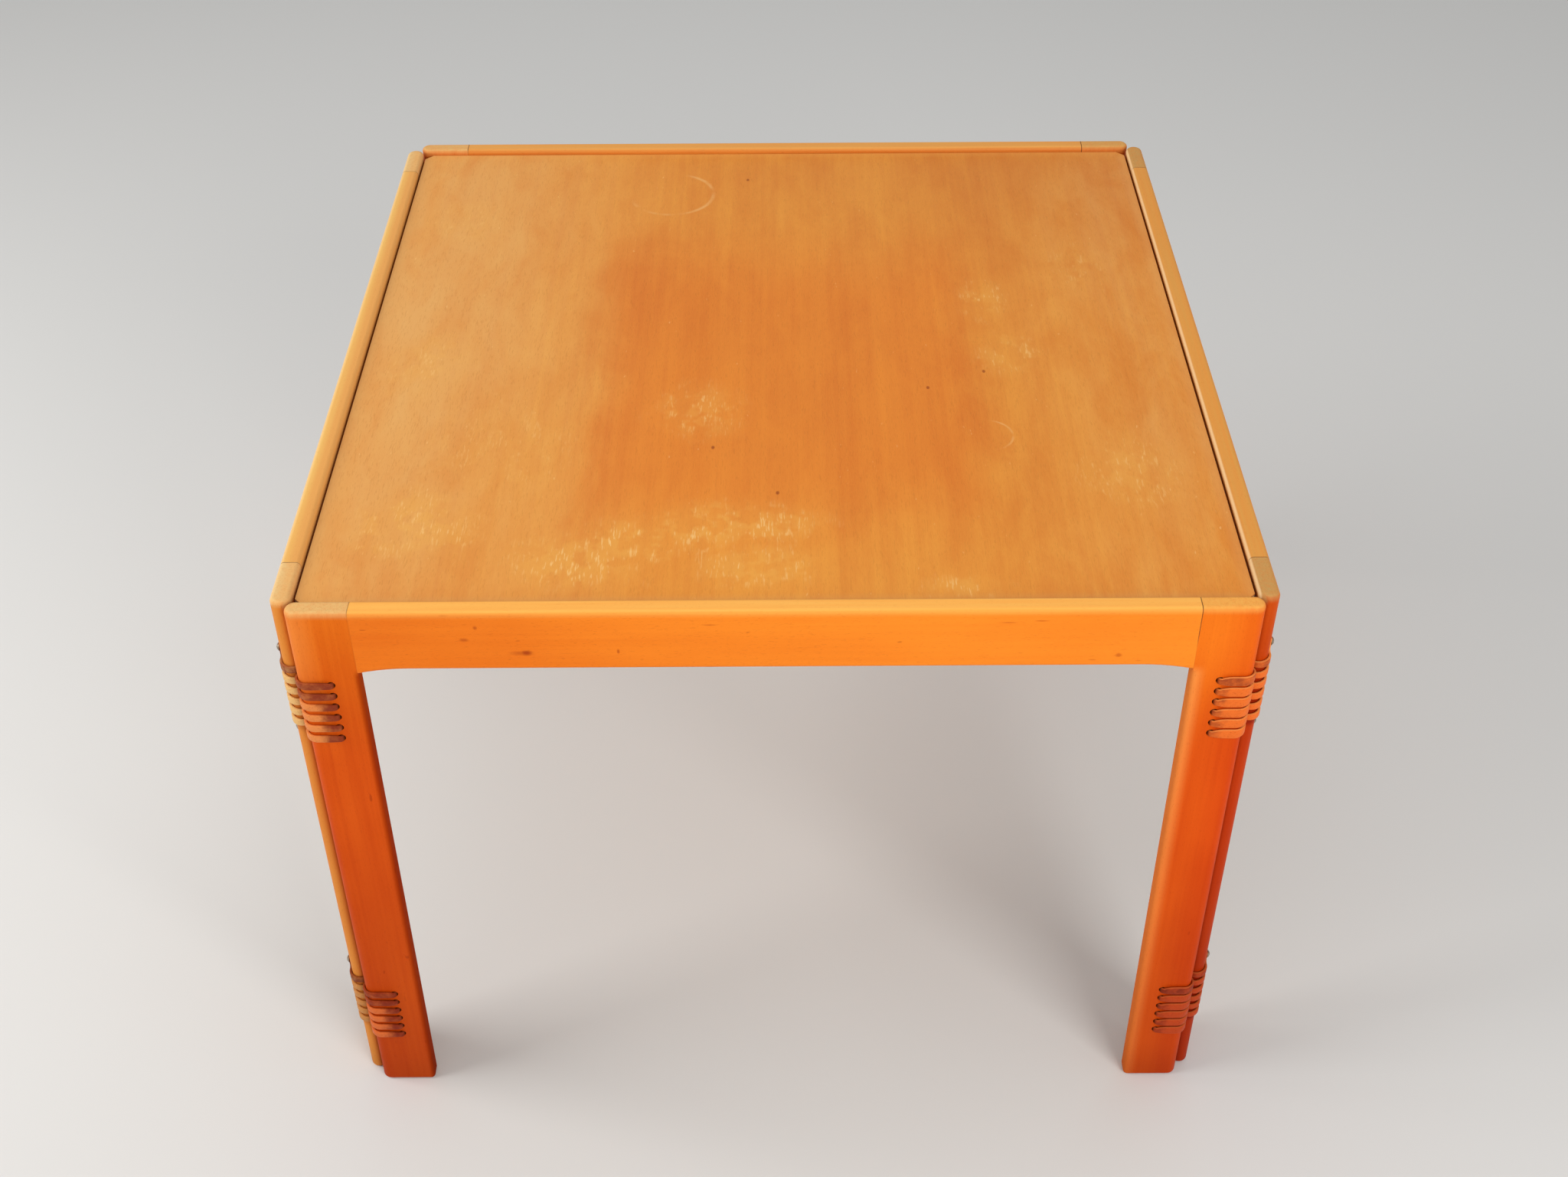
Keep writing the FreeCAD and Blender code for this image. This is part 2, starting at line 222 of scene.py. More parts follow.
def beechFinish(member, run, shift, shade, wornAndLitTop):
    made, wire = startFinish(member + "_beech")
    place = wire.coords("Object")
    x, y, z = place.parts()
    nx, ny, nz = wire.coords("Normal").parts()
    isLeg = "leg" in member
    side = member.split("_")[0]
    across = y if side in ("left", "right") else x

    def laid(lengthwise, crosswise):  # a noise scale that follows the member's grain
        return [lengthwise if axis == run else crosswise for axis in "XYZ"]

    figure = place.grain(laid(*beech["figureRun"]), shift, 3.0, 0.55, 0.6)
    streak = place.grain(laid(*beech["streakRun"]), shift, 2.0)
    fleck = place.grain(laid(*beech["fleckRun"]), shift, 1.0).ease(0.61, 0.72)
    cloud = place.grain(laid(*beech["cloudRun"]), shift, 2.0)
    tone = (figure * 0.8 + streak * 0.4 + cloud * 0.7 - 0.45).ease(0.10, 0.90)
    if member == "front_rail":
        tone = tone * 0.5 + x.ease(*beech["redEnd"]) * 0.6 - 0.05  # redder towards its left end
    deep, pale = [[a * b for a, b in zip(beech[key], shade)] for key in ("deep", "pale")]
    colour = tone.mix(deep, pale)
    if isLeg:
        # painted shade: the legs darken from under the rail down to the floor
        colour = colour.darken(beech["underRailShade"], 1 - z.ease(*beech["upperLeg"]))
        colour = colour.darken(beech["footShade"], 1 - z.ease(*beech["lowerLeg"]))
    # painted light: the left frame's surfaces that face the window are paler
    if side == "left":
        colour = colour.lay(beech["windowLitFacing"], (0 - nx).ease(*beech["facingWindow"]) * (0.6 + cloud * 0.5))
    if member == "right_leg_front":
        colour = colour.darken(beech["shaded"], (0 - ny).ease(*beech["facingFront"]))
    inSide = 0.0
    if isLeg:  # the narrow side under the rail, and painted shadow with some rubbed-off leather dye between the straps
        belowRail = 1 - z.ease(*beech["railEnd"])
        inSide = (1 - abs(across).ease(*beech["narrowSide"])) * belowRail
        bands = z.within(*beech["upperStraps"]) + z.within(*beech["lowerStraps"])
        strapShadowAndDyeShare = bands * abs(across).ease(*beech["strapShadowAndDyeReach"]) * beech["strapShadowAndDyeShare"].get(member, beech["strapShadowAndDyeElse"])
        colour = colour.darken(beech["strapShadowAndDye"], strapShadowAndDyeShare)
    if member == "front_leg_right":
        # painted shade on the outer nose of the front right leg
        colour = colour.darken(beech["outerEndShade"], x.ease(*beech["outerEndShadeAt"]))
        lit = (1 - x.ease(*beech["litAt"])) * belowRail * (0.25 + z * 0.8)
        colour = colour.lay(beech["litSide"], lit)
    if member == "front_leg_left":
        # painted highlight: the outer nose of the front left leg is paler near its top
        windowLit = (1 - x.ease(*beech["windowLitEndAt"])) * z.ease(*beech["windowLitEndLevel"]) * 0.6
        colour = colour.lay(beech["windowLitEnd"], windowLit)
        colour = colour.darken(beech["dimSide"], inSide)
    # painted shade on the faces that look in towards the top
    inwardShade = {"front": ny, "rear": 0 - ny, "left": nx, "right": 0 - nx}[side].ease(*beech["facingIn"])
    colour = colour.darken(beech["inwardShade"], inwardShade)
    up = nz.ease(*beech["facingUp"]).most(z.ease(*beech["easeLevel"]) * 0.6) * z.ease(*beech["upLevel"])
    paleTopOnInner = inwardShade * z.ease(*beech["paleTopOnInnerLevel"]) * (0.3 if side == "rear" else 0.9)
    up = up.most(paleTopOnInner)  # the pale top, partly painted light, goes on over the inner edge
    # the pale top edge is partly wear and partly painted light from above
    colour = colour.lay(wornAndLitTop, up * (0.60 + streak * 0.5))
    if side == "left":
        # painted shade on the inner part of the left frame's top
        colour = colour.lay(beech["shadedInnerTop"], up * x.ease(*beech["shadedInnerTopAt"]) * (0.45 if isLeg else 0.85))
        # painted highlight along the left frame's outer top edge
        windowLit = (1 - x.ease(*beech["windowHighlightTopAt"])) * z.ease(*beech["windowHighlightTopLevel"]) * 0.6
        colour = colour.lay(beech["windowHighlightTop"], windowLit)
    if side == "right":
        # painted highlight along the right frame's inner top edge
        worn = (1 - x.ease(*beech["highlightLineAt"])) * z.ease(*beech["highlightLineLevel"]) * 0.75
        colour = colour.lay(beech["highlightLine"], worn)
    if isLeg:  # end grain shows as fine dots on the top
        dots = place.grain(beech["dotScale"], shift, 2.0).ease(0.50, 0.70)
        colour = colour.darken(beech["endDots"], dots * nz.ease(*beech["endFacing"]) * up * 0.4)
    colour = colour.darken(beech["fleck"], fleck * (0.24 - up * 0.10))
    elsewhere = [s + beech["markShift"] for s in shift]
    mark = place.grain(laid(*beech["markRun"]), elsewhere, 1.0).ease(0.75, 0.82) * (1 - up) * 0.5
    if member == "front_rail":
        for knotX, knotZ, halfLong, halfTall, fac in beech["knots"]:
            reach = (halfLong, beech["faceDeep"], halfTall)
            gap = place.near((knotX, beech["faceAt"], knotZ), reach) + (streak - 0.5) * 0.5
            mark = mark.most((1 - gap.ease(0.2, 1.1)) * fac)
    colour = colour.darken(beech["mark"], mark)
    line = 1 - abs(abs(across) - beech["jointAt"]).ease(*beech["jointEdge"])
    broken = place.grain(beech["brokenScale"], shift, 1.0).ease(0.30, 0.60)
    opened = z.ease(*beech["openLevel"]) * across.ease(*beech["openAt"])  # at one end of the rail only
    onFace = opened * 0.8 + 0.12
    line = line * (up * 0.8).most(onFace) * (0.4 + broken * 0.6) * z.ease(*beech["jointLevel"])
    colour = colour.lay(beech["jointLine"], line)
    colour = colour.darken(beech["grime"], (1 - z.ease(*beech["grimeLevel"])) * cloud * 0.7)
    closeFinish(wire, {
        "Base Color": colour,
        "Roughness": 0.42 + streak * 0.12 + up * 0.06 - tone * 0.05 + inSide * 0.5,
        "Specular IOR Level": 0.05 if isLeg else 0.12,
    }, streak * 0.6 + fleck * -0.5 - line, 0.22, 0.0003)
    return made


members = {  # grain direction, own place in the wood, shade, and the pale colour of its top edge, partly wear and partly painted light from above
    "front_rail": ("X", (0.3, 1.7, 4.1), (1.03, 1.03, 0.9), (0.92, 0.46, 0.095)),
    "rear_rail": ("X", (5.9, 2.2, 0.4), (1, 1, 1), (0.74, 0.36, 0.085)),
    "left_rail": ("Y", (1.3, 6.1, 2.8), (1, 1, 1), (0.83, 0.50, 0.14)),
    "right_rail": ("Y", (7.7, 0.9, 5.2), (1, 1, 1), (0.70, 0.325, 0.068)),
    "front_leg_left": ("Z", (2.1, 3.3, 0.7), (0.90, 0.75, 0.6), (0.75, 0.47, 0.176)),
    "front_leg_right": ("Z", (9.4, 1.1, 6.3), (0.97, 0.80, 0.6), (0.86, 0.42, 0.09)),
    "rear_leg_left": ("Z", (4.7, 8.2, 1.9), (1, 0.9, 1), (0.70, 0.42, 0.15)),
    "rear_leg_right": ("Z", (6.6, 5.0, 3.4), (1, 0.9, 1), (0.64, 0.36, 0.11)),
    "left_leg_front": ("Z", (8.3, 4.4, 7.1), (1, 1, 1), (0.77, 0.53, 0.23)),
    "left_leg_rear": ("Z", (3.8, 9.7, 5.6), (1, 1, 1), (0.77, 0.53, 0.23)),
    "right_leg_front": ("Z", (0.8, 7.3, 9.2), (1, 1, 1), (0.535, 0.31, 0.10)),
    "right_leg_rear": ("Z", (5.1, 0.2, 8.8), (1, 1, 1), (0.535, 0.31, 0.10)),
}
for member, look in members.items():
    dress(member, beechFinish(member, *look))
print("frames oiled:", len(members), "members")


# top: veneered board, grain front to back, faded round a darker field, with cup rings and years of scuffs
topBoard = {
    "deep": (0.66, 0.200, 0.022),
    "pale": (0.79, 0.318, 0.042),
    "faded": (0.74, 0.40, 0.13),
    "fieldTone": (0.97, 0.74, 0.55),
    "pore": (0.74, 0.60, 0.48),
    "thin": (0.80, 0.40, 0.075),
    "scuffed": (0.88, 0.54, 0.20),
    "speck": (0.42, 0.24, 0.12),
    "dim": (0.92, 0.86, 0.86),
    "bands": ((11, 0.7, 1), (2.2, 0.4, 0), 3.0, 0.55, 0.3),  # noises: scale, shift, detail, roughness, bend
    "streaks": ((190, 3.0, 1), (5.0, 1.0, 0), 3.0, 0.6),
    "pores": ((1500, 140, 1), (1.0, 7.0, 0), 1.0),
    "clouds": ((6, 2.6, 1), (3.0, 3.0, 0), 3.0),
    "mottles": ((30, 10, 1), (6.0, 1.0, 0), 5.0, 0.65, 0.4),
    "gates": ((80, 60, 1), (4.4, 1.9, 0), 2.0),
    "strokes": ((760, 105, 1), (0.5, 2.5, 0), 1.0),
    "strays": ((330, 110, 1), (9.1, 6.2, 0), 1.0),
    "ringGaps": (60, 60, 1),
    "level": 0.51,
    "fadedLeft": (-0.31, -0.05),
    "fadedRight": (0.16, 0.33),
    "field": (0.0, -0.045),
    "fieldSides": (0.12, 0.18),  # from the field's middle
    "fieldEnds": (0.115, 0.275),
    "dimBack": (0.05, 0.33),
    "dimRight": (-0.15, 0.25),
    "rimSides": (0.319, 0.3304),
    "rimEnds": (0.3205, 0.3315),
    "speckHalf": (0.0018, 0.0030, 1),
    "rings": [  # place, radius, strength, how far it shows in front
        (-0.094, 0.253, 0.038, 0.40, 0.7), (0.162, -0.134, 0.020, 0.35, 0.0),
    ],
    "scuffs": [  # place, half sizes, strength
        (-0.275, -0.034, 0.05, 0.07, 0.4), (-0.258, -0.240, 0.06, 0.06, 0.7),
        (-0.142, -0.285, 0.07, 0.045, 0.9), (-0.105, -0.262, 0.05, 0.04, 1.0),
        (-0.050, -0.245, 0.06, 0.04, 1.0), (-0.010, -0.292, 0.06, 0.035, 0.8),
        (0.0, -0.243, 0.05, 0.03, 0.8), (0.189, -0.019, 0.035, 0.045, 0.7),
        (0.174, 0.064, 0.03, 0.045, 0.6), (0.264, -0.180, 0.06, 0.07, 0.5),
        (0.260, 0.119, 0.04, 0.06, 0.4), (0.132, -0.316, 0.04, 0.02, 0.7),
        (-0.277, 0.201, 0.05, 0.06, 0.3), (-0.063, -0.098, 0.05, 0.05, 0.6),
        (-0.20, -0.15, 0.09, 0.10, 0.3),
    ],
    "specks": [(-0.025, 0.280), (0.002, -0.206), (0.121, -0.068), (0.167, -0.045), (-0.047, -0.148)],
}


def topFinish():
    made, wire = startFinish("top_veneer_worn")
    place = wire.coords("Object")
    x, y = place.parts()[:2]
    level = topBoard["level"]
    band = place.grain(*topBoard["bands"])
    streak = place.grain(*topBoard["streaks"])
    pore = place.grain(*topBoard["pores"])
    cloud = place.grain(*topBoard["clouds"])
    mottle = place.grain(*topBoard["mottles"])
    tone = (band * 0.6 + streak * 0.42 + pore * 0.4 + mottle * 0.8 - 0.60).ease(0.10, 0.90)
    colour = tone.mix(topBoard["deep"], topBoard["pale"])
    haze = (cloud * 0.8 + mottle * 0.8 - 0.4).ease(0.1, 0.8)
    left = (1 - x.ease(*topBoard["fadedLeft"])) * (0.35 + haze * 0.75)
    right = x.ease(*topBoard["fadedRight"]) * haze * 0.7
    colour = colour.lay(topBoard["faded"], left.most(right) * 0.75)
    wander = (cloud - 0.5) * 0.12 + (mottle - 0.5) * 0.05
    fieldX, fieldY = topBoard["field"]
    besides = (abs(x - fieldX) + wander).ease(*topBoard["fieldSides"])
    beyond = (abs(y - fieldY) + wander).ease(*topBoard["fieldEnds"])
    field = (1 - besides) * (1 - beyond)
    colour = colour.darken(topBoard["fieldTone"], field * (0.6 + mottle * 0.5))
    colour = colour.darken(topBoard["pore"], pore.ease(0.54, 0.72) * 0.42)
    for ringX, ringY, radius, fac, front in topBoard["rings"]:
        gap = place.near((ringX, ringY, level), (radius, radius, 1)) + (cloud - 0.5) * 0.06
        onRight = (x - ringX).ease(0.1 * radius, 0.7 * radius)
        inFront = (ringY - y).ease(0.1 * radius, 0.7 * radius) * front
        worn = place.grain(topBoard["ringGaps"], (ringX * 9, ringY * 9, 0), 2.0).ease(0.34, 0.62)
        ring = (1 - abs(gap - 1).ease(0.015, 0.07)) * onRight.most(inFront) * worn
        colour = colour.lay(topBoard["scuffed"], ring * fac)
    rub = 0
    for spotX, spotY, halfX, halfY, fac in topBoard["scuffs"]:
        gap = place.near((spotX, spotY, level), (halfX, halfY, 1)) + (mottle - 0.5) * 1.2
        rub = ((1 - gap.ease(0.2, 1.0)) * fac).most(rub)
    gate = place.grain(*topBoard["gates"]).ease(0.42, 0.58)
    scuff = rub * gate * place.grain(*topBoard["strokes"]).ease(0.56, 0.70) * 0.75
    colour = colour.lay(topBoard["thin"], rub * (0.20 + gate * 0.35))  # the varnish has gone thin there
    colour = colour.lay(topBoard["scuffed"], scuff)
    stray = place.grain(*topBoard["strays"]).ease(0.76, 0.86)
    colour = colour.lay(topBoard["scuffed"], stray * 0.4)
    for spotX, spotY in topBoard["specks"]:
        speck = 1 - place.near((spotX, spotY, level), topBoard["speckHalf"]).ease(0.4, 1.0)
        colour = colour.darken(topBoard["speck"], speck * 0.8)
    # painted shade: the top darkens towards the back right
    colour = colour.darken(topBoard["dim"], y.ease(*topBoard["dimBack"]) * x.ease(*topBoard["dimRight"]))
    rim = abs(x).ease(*topBoard["rimSides"]).most(abs(y).ease(*topBoard["rimEnds"]))
    colour = colour.lay(topBoard["faded"], rim * 0.25)
    closeFinish(wire, {
        "Base Color": colour,
        "Roughness": 0.38 + streak * 0.10 + rub * 0.08 + scuff * 0.15,
        "Specular IOR Level": 0.20,
    }, streak * 0.4 + pore * 0.5 - scuff * 0.6, 0.16, 0.0002)
    return made


backVeneer = {
    "bands": ((16, 0.9, 1), (8.0, 2.0, 0), 3.0, 0.5, 0.4),
    "streaks": ((200, 3, 1), (4.0, 6.0, 0), 3.0),
    "deep": (0.50, 0.24, 0.08),
    "pale": (0.66, 0.37, 0.15),
}


def backFinish():
    made, wire = startFinish("top_veneer_back")
    place = wire.coords("Object")
    band = place.grain(*backVeneer["bands"])
    streak = place.grain(*backVeneer["streaks"])
    tone = (band + streak * 0.6 - 0.3).ease(0.2, 0.8)
    colour = tone.mix(backVeneer["deep"], backVeneer["pale"])
    closeFinish(wire, {"Base Color": colour, "Roughness": 0.55 + streak * 0.15}, streak, 0.15, 0.0003)
    return made


chipboard = {
    "chipScale": 420.0,
    "shades": ((160, 160, 420), (2, 2, 2), 3.0),
    "deep": (0.20, 0.10, 0.04),
    "pale": (0.50, 0.31, 0.14),
}


def coreFinish():
    made, wire = startFinish("pressed_chips")
    place = wire.coords("Object")
    chips = {"Vector": place, "Scale": chipboard["chipScale"]}
    chip = wire.node("ShaderNodeTexVoronoi", {}, chips, "Distance")
    shade = place.grain(*chipboard["shades"])
    colour = shade.ease(0.3, 0.7).mix(chipboard["deep"], chipboard["pale"])
    closeFinish(wire, {"Base Color": colour, "Roughness": 0.75 + shade * 0.2}, chip + shade, 0.5, 0.0006)
    return made


plainBeech = {
    "streaks": ((6, 260, 260), (1.4, 2.6, 3.8), 2.0),
    "flecks": ((150, 900, 900), (0.4, 0.9, 6.0), 1.0),
    "deep": (0.52, 0.30, 0.13),
    "pale": (0.68, 0.44, 0.22),
    "nodes": ("front_cleat", "rear_cleat", "front_dowels", "rear_dowels", "left_dowels", "right_dowels"),
}


def plainFinish():
    made, wire = startFinish("plain_beech_cleats")
    place = wire.coords("Object")
    streak = place.grain(*plainBeech["streaks"])
    fleck = place.grain(*plainBeech["flecks"]).ease(0.60, 0.70)
    colour = streak.ease(0.3, 0.7).mix(plainBeech["deep"], plainBeech["pale"])
    colour = colour.darken(beech["fleck"], fleck * 0.5)
    closeFinish(wire, {"Base Color": colour, "Roughness": 0.58 + streak * 0.12}, streak - fleck, 0.2, 0.0003)
    return made


steelMarks = {
    "stains": ((420, 420, 420), (1, 2, 3), 3.0),
    "scratches": ((2600, 700, 2600), (3, 1, 2), 1.0),
}
steels = {
    "tack_steel": {
        "bright": (0.50, 0.42, 0.32),
        "dull": (0.26, 0.19, 0.13),
        "rough": 0.26,
        "nodes": ("left_frame_tacks", "right_frame_tacks"),
    },
    "screw_steel": {
        "bright": (0.62, 0.60, 0.56),
        "dull": (0.34, 0.32, 0.30),
        "rough": 0.30,
        "nodes": ("front_cleat_screws", "rear_cleat_screws"),
    },
}


def steelFinish(name, steel):
    made, wire = startFinish(name)
    place = wire.coords("Object")
    stain = place.grain(*steelMarks["stains"])
    scratch = place.grain(*steelMarks["scratches"])
    colour = stain.ease(0.35, 0.7).mix(steel["bright"], steel["dull"])
    sockets = {"Base Color": colour, "Metallic": 1.0, "Roughness": steel["rough"] + stain * 0.2}
    closeFinish(wire, sockets, scratch, 0.08, 0.0001)
    return made


dress("top_face_veneer", topFinish())
dress("top_back_veneer", backFinish())
dress("top_core", coreFinish())
cleatWood = plainFinish()
for node in plainBeech["nodes"]:
    dress(node, cleatWood)
for name, steel in steels.items():
    finish = steelFinish(name, steel)
    for node in steel["nodes"]:
        dress(node, finish)
print("top, cleats and fixings finished")


# lacing: flat leather thongs that go round the rounded edges in a figure of eight
thong = {
    "wide": 0.0050,
    "thick": 0.0020,
    "arris": 0.0007,
    "arrisSteps": 3,
    "wrap": 0.00855,
    "pitch": 0.0101,
    "turns": 6,
    "holeAlong": 0.0177,
    "holeBend": 0.002,
    "holeCut": 0.005,
    "slopeLead": 0.0005,
    "endTurn": 0.005,
    "headLead": 0.001,
    "endRun": 0.009,
    "wave": 0.00022,
    "waveScale": 95,
    "sharpAngle": 50,
    "alongAxis": 0.32775,
    "outAxis": 0.32775 + 0.0171 * math.sqrt(0.5),
    "firstLevels": (0.4495, 0.112),  # upper and lower lacing, front and rear holes
    "between": 0.28,  # a level between the two lacings
    "opening": (0.55, 0.30, 0.15, 0, 0, 0),  # how the strap gets its width on the way from its hole
    "noseTurns": (54, 52.5, 28.5),  # degrees round the edge: before, while and after it narrows
    "noseSteps": (8, 7, 4),
    "bendSteps": 7,
    "slopeSteps": 6,
    "wearMost": 0.95,
    "wearFade": 75,  # loss of wear per metre towards the hole
    "sunkFrom": (0.0147, 0.0025),  # along the board: where the hole's shade starts, and how far it takes
    "sunkOff": (0.00905, 0.0015),  # the same, down from the face
    "dark": (0.25, 0.034, 0.009),
    "worn": (0.80, 0.155, 0.018),
    "faded": (0.76, 0.24, 0.060),
    "windowLit": (0.80, 0.47, 0.17),  # a lit copy of the leather: painted window light on the straps of the left frame
    "cut": (0.90, 0.33, 0.08),
    # painted shade where the thong runs into its hole
    "inside": (0.14, 0.025, 0.006),
    "pored": (0.66, 0.52, 0.42),
    "low": {  # painted shade: the lower lacings are darker
        "worn": (0.58, 0.32, 0.30),
        "faded": (0.86, 0.58, 0.50),
        "windowLit": (0.70, 0.50, 0.36),
    },
    "shadedLowLevel": (0.15, 0.35),
    "hides": ((900, 900, 900), (1, 1, 1), 3.0, 0.6),
    "patches": ((150, 150, 150), (4, 2, 7), 3.0, 0.6),
    "creases": ((260, 260, 1500), (2, 8, 1), 2.0),
}


def leatherFinish(state):
    made, wire = startFinish(state + "_leather")
    place = wire.coords("Object")
    z = place.parts()[2]
    wear, cut, holeShade = [wire.own(key) for key in ("wear", "cutEdge", "holeShade")]
    hide = place.grain(*thong["hides"])
    patch = place.grain(*thong["patches"])
    crease = place.grain(*thong["creases"])
    tone = (wear + patch * 1.1 - 0.55).ease(0.0, 1.0)
    colour = tone.mix(thong["dark"], thong[state])
    colour = colour.darken(thong["pored"], hide.ease(0.52, 0.72) * 0.6)
    colour = colour.lay(thong["cut"], cut.ease(0.30, 0.90) * (0.5 + patch * 0.6))
    # painted shade, darker towards the floor
    colour = colour.darken(thong["low"][state], 1 - z.ease(*thong["shadedLowLevel"]))
    # painted shade inside the holes
    colour = colour.lay(thong["inside"], holeShade * 0.85)
    closeFinish(wire, {
        "Base Color": colour,
        "Roughness": 0.46 + hide * 0.14 + cut * 0.16 - tone * 0.06,
        "Specular IOR Level": 0.12,
    }, hide + crease * 0.5, 0.35, 0.0003)
    return made


def thongStart(bm, middle, across, upright, wide):  # a section with eased corners
    half, tall = across * (thong["thick"] / 2), upright * (wide / 2)
    corners = [bm.verts.new(middle + half * i + tall * j) for i, j in ((-1, -1), (1, -1), (1, 1), (-1, 1))]
    bm.faces.new(corners)
    made = bmesh.ops.bevel(bm, geom=corners, offset=thong["arris"], segments=thong["arrisSteps"],
                           profile=0.5, affect="VERTICES", material=-1)
    cut = bm.verts.layers.float["cutEdge"]
    for vert in made["verts"]:
        reach = abs((vert.co - middle).dot(upright)) / (wide / 2)
        vert[cut] = max(0.0, (reach - 0.8) / 0.2)
    return made["verts"][0].link_faces[0]


def pull(bm, face, way):
    made = bmesh.ops.extrude_face_region(bm, geom=[face, *face.edges, *face.verts])["geom"]
    bmesh.ops.translate(bm, verts=[g for g in made if isinstance(g, bmesh.types.BMVert)], vec=way)
    return next(g for g in made if isinstance(g, bmesh.types.BMFace))


def turn(bm, face, centre, axis, degrees, steps):
    made = bmesh.ops.spin(bm, geom=[face, *face.edges, *face.verts], cent=centre, axis=axis, dvec=(0, 0, 0),
                          angle=math.radians(degrees), steps=steps, use_merge=False, use_duplicate=False)
    return next(g for g in made["geom_last"] if isinstance(g, bmesh.types.BMFace))


def spread(bm, face, factor):  # widens or narrows the strap's open end
    middle = face.calc_center_median()
    bmesh.ops.scale(bm, vec=(1, 1, factor), space=Matrix.Translation(-middle), verts=face.verts)


upright, along, out = Vector((0, 0, 1)), Vector((1, 0, 0)), Vector((0, 1, 0))  # a board's own directions
wrap, bend = thong["wrap"], thong["holeBend"]
bendStart = thong["holeAlong"] - bend


def roundNose(bm, face, widening):  # over the rounded edge, narrowing to the crossing
    before, narrowing, after = zip(thong["noseTurns"], thong["noseSteps"])
    face = turn(bm, face, (0, 0, 0), upright, *before)
    degrees, steps = narrowing
    for step in range(steps):
        face = turn(bm, face, (0, 0, 0), upright, degrees / steps, 1)
        spread(bm, face, widening ** (-1 / steps))
    return turn(bm, face, (0, 0, 0), upright, *after)


def outOfHole(bm, level):
    inHole = Vector((thong["holeAlong"], thong["holeCut"], level))
    face = thongStart(bm, inHole, along, upright, thong["wide"])
    face = pull(bm, face, out * (wrap - bend - thong["holeCut"]))
    return turn(bm, face, (bendStart, wrap - bend, level), upright, 90, thong["bendSteps"])


def outsideStrap(bm, level, faceWide):
    face = outOfHole(bm, level)
    widening = faceWide / thong["wide"]
    for share in thong["opening"]:
        face = pull(bm, face, along * (-bendStart / len(thong["opening"])))
        spread(bm, face, widening ** share)
    roundNose(bm, face, widening)


def insideStrap(bm, level, fall):  # from the crossing, down the inner face to its hole
    corner = wrap * math.sqrt(0.5)
    crossing = Vector((-corner, -corner, level))
    face = thongStart(bm, crossing, (along + out).normalized(), upright, thong["wide"])
    face = turn(bm, face, (0, 0, 0), upright, 45, thong["bendSteps"])
    lead, steps = thong["slopeLead"], thong["slopeSteps"]
    run = bendStart - 2 * lead
    tilt = 2 * math.atan2(fall, run)
    radius = run / (2 * math.sin(tilt))
    degrees = math.degrees(tilt)
    lower = level - fall
    face = pull(bm, face, along * lead)
    face = turn(bm, face, (lead, -wrap, level - radius), out, degrees, steps)
    face = turn(bm, face, (bendStart - lead, -wrap, lower + radius), out, -degrees, steps)
    face = pull(bm, face, along * lead)
    face = turn(bm, face, (bendStart, bend - wrap, lower), upright, 90, thong["bendSteps"])
    pull(bm, face, out * (wrap - bend + thong["holeCut"]))


def headStrap(bm, level, faceWide):  # from its tack down and round the edge
    quarter, lead = thong["endTurn"], thong["headLead"]
    tip = Vector((lead + quarter, wrap, level + quarter + thong["endRun"]))
    face = thongStart(bm, tip, out, along, faceWide)
    face = pull(bm, face, upright * -thong["endRun"])
    face = turn(bm, face, (lead, wrap, level + quarter), out, 90, thong["bendSteps"])
    roundNose(bm, pull(bm, face, along * -lead), faceWide / thong["wide"])


def tailStrap(bm, level):  # out of the last hole and down to its tack
    face = outOfHole(bm, level)
    face = turn(bm, face, (bendStart, wrap, level - thong["endTurn"]), out, -90, thong["bendSteps"])
    pull(bm, face, upright * -thong["endRun"])


def straps(inside, onSide, faceWide):  # all the thong of one corner on one face of one board
    bm = bmesh.new()
    bm.verts.layers.float.new("cutEdge")
    pitch, turns = thong["pitch"], thong["turns"]
    for first in thong["firstLevels"]:
        for count in range(turns):
            level = first - count * pitch
            if inside:
                insideStrap(bm, level if onSide else level + pitch / 2, pitch / 2)
            elif not onSide:
                outsideStrap(bm, level, faceWide)
            elif count == 0:
                headStrap(bm, level + pitch / 2, faceWide)
            else:
                outsideStrap(bm, level + pitch / 2, faceWide)
        if onSide and not inside:
            tailStrap(bm, first + pitch / 2 - turns * pitch)
    return bm


def clamped(value, high=1.0):
    return min(high, max(0.0, value))


